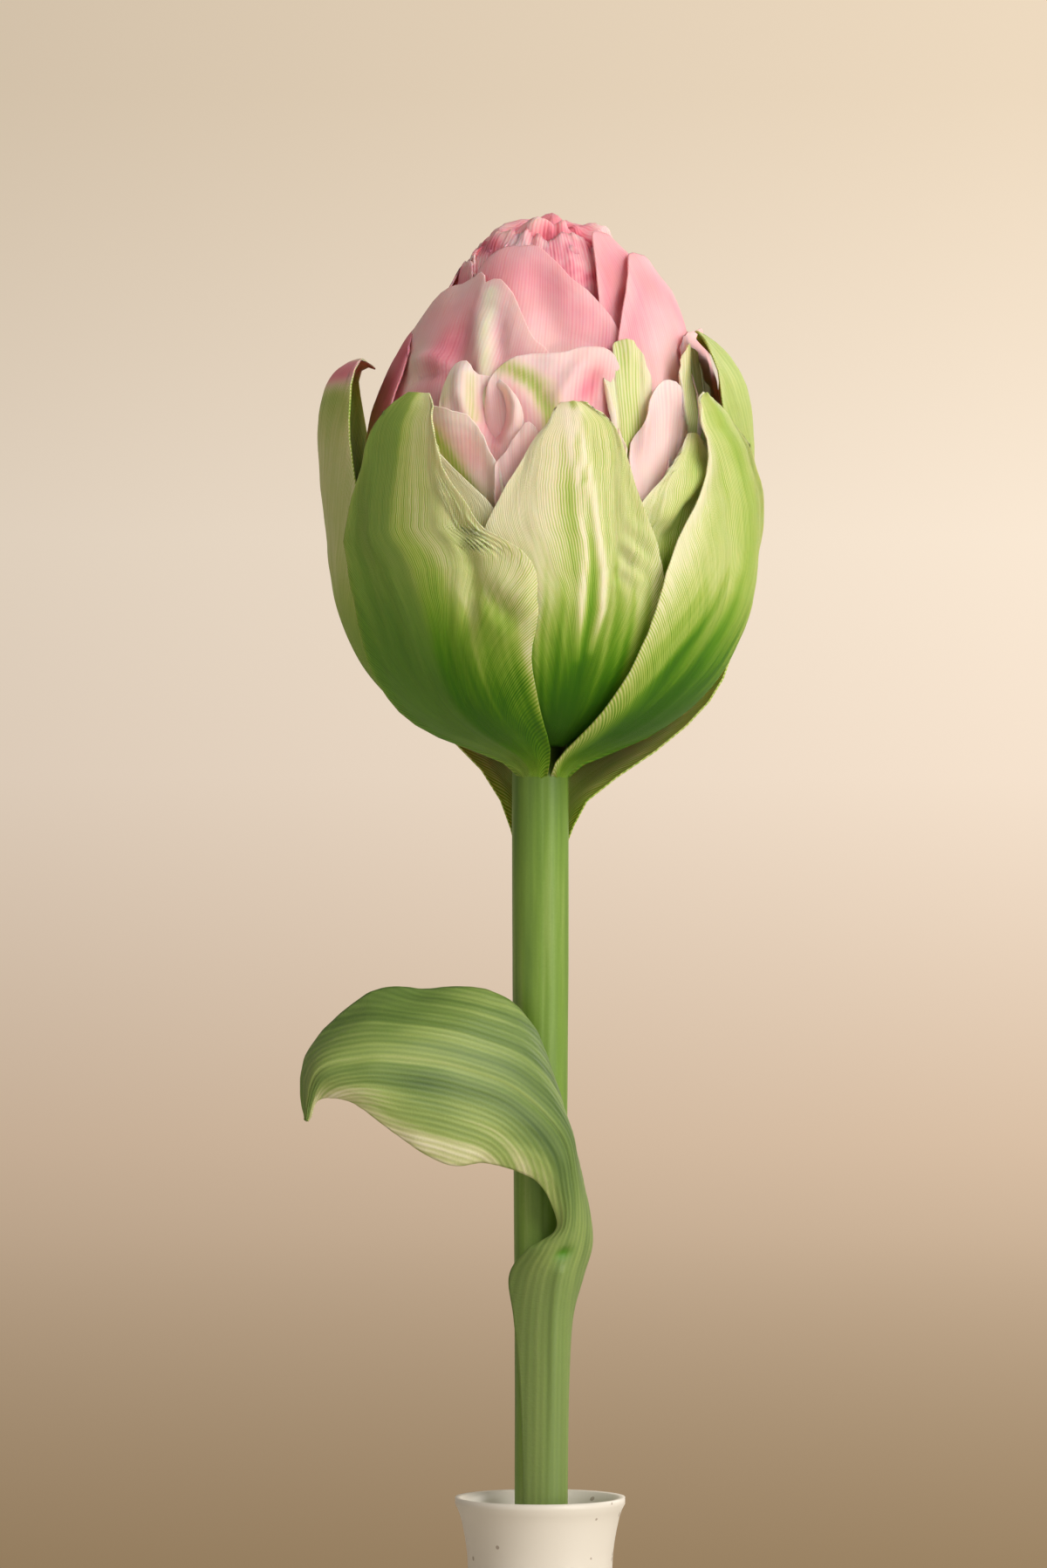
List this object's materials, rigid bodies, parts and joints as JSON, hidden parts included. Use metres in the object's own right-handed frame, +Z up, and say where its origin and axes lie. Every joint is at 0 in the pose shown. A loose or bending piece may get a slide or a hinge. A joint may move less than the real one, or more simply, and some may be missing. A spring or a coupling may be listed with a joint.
{
  "type": "ice cream tulip in vase",
  "caption": "Cut double tulip with green outer tepals round a crumpled pink heart, upright in a plain stoneware bottle vase of water, with an arching leaf.",
  "frame": {"origin": "centre of the vase's flat foot, on the surface it stands on", "axes": "+Z up along the vase's and the stem's axis; the bloom's front faces -Y and the leaf arches towards -X"},
  "size_m": [0.084, 0.084, 0.3406],
  "materials": {
    "stoneware": "satin",
    "water": "gloss",
    "stem_green": "satin",
    "leaf_green": "satin",
    "tepal_green": "satin",
    "cream_green": "satin",
    "petal_pink": "satin",
    "heart_pink": "satin"
  },
  "bodies": {
    "root": {"bract": "tepal_green", "heart": "heart_pink", "leaf": "leaf_green", "petal_back_centre": "petal_pink", "petal_back_left": "petal_pink", "petal_back_low_centre": "petal_pink", "petal_back_low_left": "petal_pink", "petal_back_low_right": "petal_pink", "petal_back_right": "petal_pink", "petal_centre_large": "petal_pink", "petal_far_right_cream": "cream_green", "petal_fold_left": "cream_green", "petal_fold_right": "cream_green", "petal_left_ribbed": "petal_pink", "petal_left_small": "petal_pink", "petal_low_centre": "petal_pink", "petal_right_cream": "cream_green", "petal_right_edge": "petal_pink", "petal_right_large": "petal_pink", "petal_right_ruffled": "petal_pink", "petal_small_front": "petal_pink", "petal_upper_back": "petal_pink", "petal_upper_centre": "petal_pink", "petal_upper_left": "petal_pink", "petal_upper_right": "petal_pink", "stem": "stem_green", "tepal_back": "tepal_green", "tepal_front_centre": "tepal_green", "tepal_front_left": "tepal_green", "tepal_front_right": "tepal_green", "tepal_inner_back_left": "tepal_green", "tepal_inner_back_right": "tepal_green", "tepal_inner_left": "tepal_green", "tepal_inner_right": "tepal_green", "tepal_left": "tepal_green", "tepal_right": "tepal_green", "vase": "stoneware", "water": "water"}
  },
  "joints": []
}
